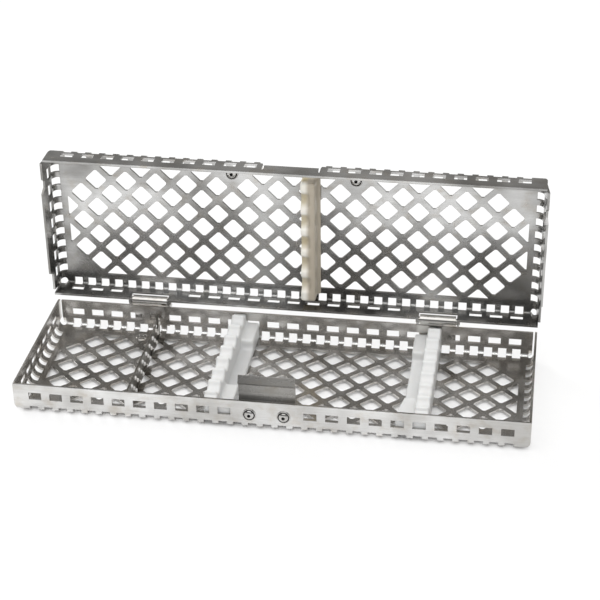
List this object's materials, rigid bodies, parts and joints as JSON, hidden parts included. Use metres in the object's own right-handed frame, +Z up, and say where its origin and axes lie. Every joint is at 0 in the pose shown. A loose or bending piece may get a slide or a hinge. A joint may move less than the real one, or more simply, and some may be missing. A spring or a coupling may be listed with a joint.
{
  "type": "dental instrument cassette",
  "caption": "Shallow perforated steel tray with a hinged perforated lid, sprung front latch, scalloped white instrument rails and an upright divider.",
  "frame": {"origin": "middle of the tray's underside", "axes": "+X along the length to the right seen from the latch, -Y to the front where the latch is, +Z up"},
  "size_m": [0.183, 0.0666, 0.0711],
  "materials": {
    "tray_steel": "satin",
    "lid_steel": "satin",
    "latch_steel": "fine brushed",
    "divider_steel": "dull",
    "polished_steel": "polished",
    "white_plastic": "satin",
    "cream_plastic": "satin"
  },
  "bodies": {
    "base": {"tray": "tray_steel", "hinge_hook_left": "tray_steel", "hinge_hook_right": "tray_steel", "latch_plate": "latch_steel", "latch_rivet_left": "polished_steel", "latch_rivet_right": "polished_steel", "floor_rivet_left": "tray_steel", "rail_left": "white_plastic", "rail_right": "white_plastic", "divider": "divider_steel", "divider_foot_1": "divider_steel", "divider_foot_2": "divider_steel", "divider_foot_3": "divider_steel", "divider_foot_4": "divider_steel"},
    "lid": {"lid_shell": "lid_steel", "hinge_pin_left": "polished_steel", "hinge_pin_right": "polished_steel", "lid_rivet_left": "polished_steel", "lid_rivet_right": "polished_steel", "lid_rail": "cream_plastic"},
    "latch": {"latch_tongue": "latch_steel"}
  },
  "joints": [
    {"name": "lid_hinge", "type": "hinge", "parent": "base", "child": "lid", "pos_m": [0, 0.02855, 0.0134], "axis": [1, 0, 0], "range_deg": [0, 90]},
    {"name": "latch_press", "type": "hinge", "parent": "base", "child": "latch", "pos_m": [0, -0.0277, 0.0092], "axis": [-1, 0, 0], "range_deg": [0, 7.5], "stiffness_Nm_per_rad": 0.05, "springref_deg": -2.86}
  ]
}
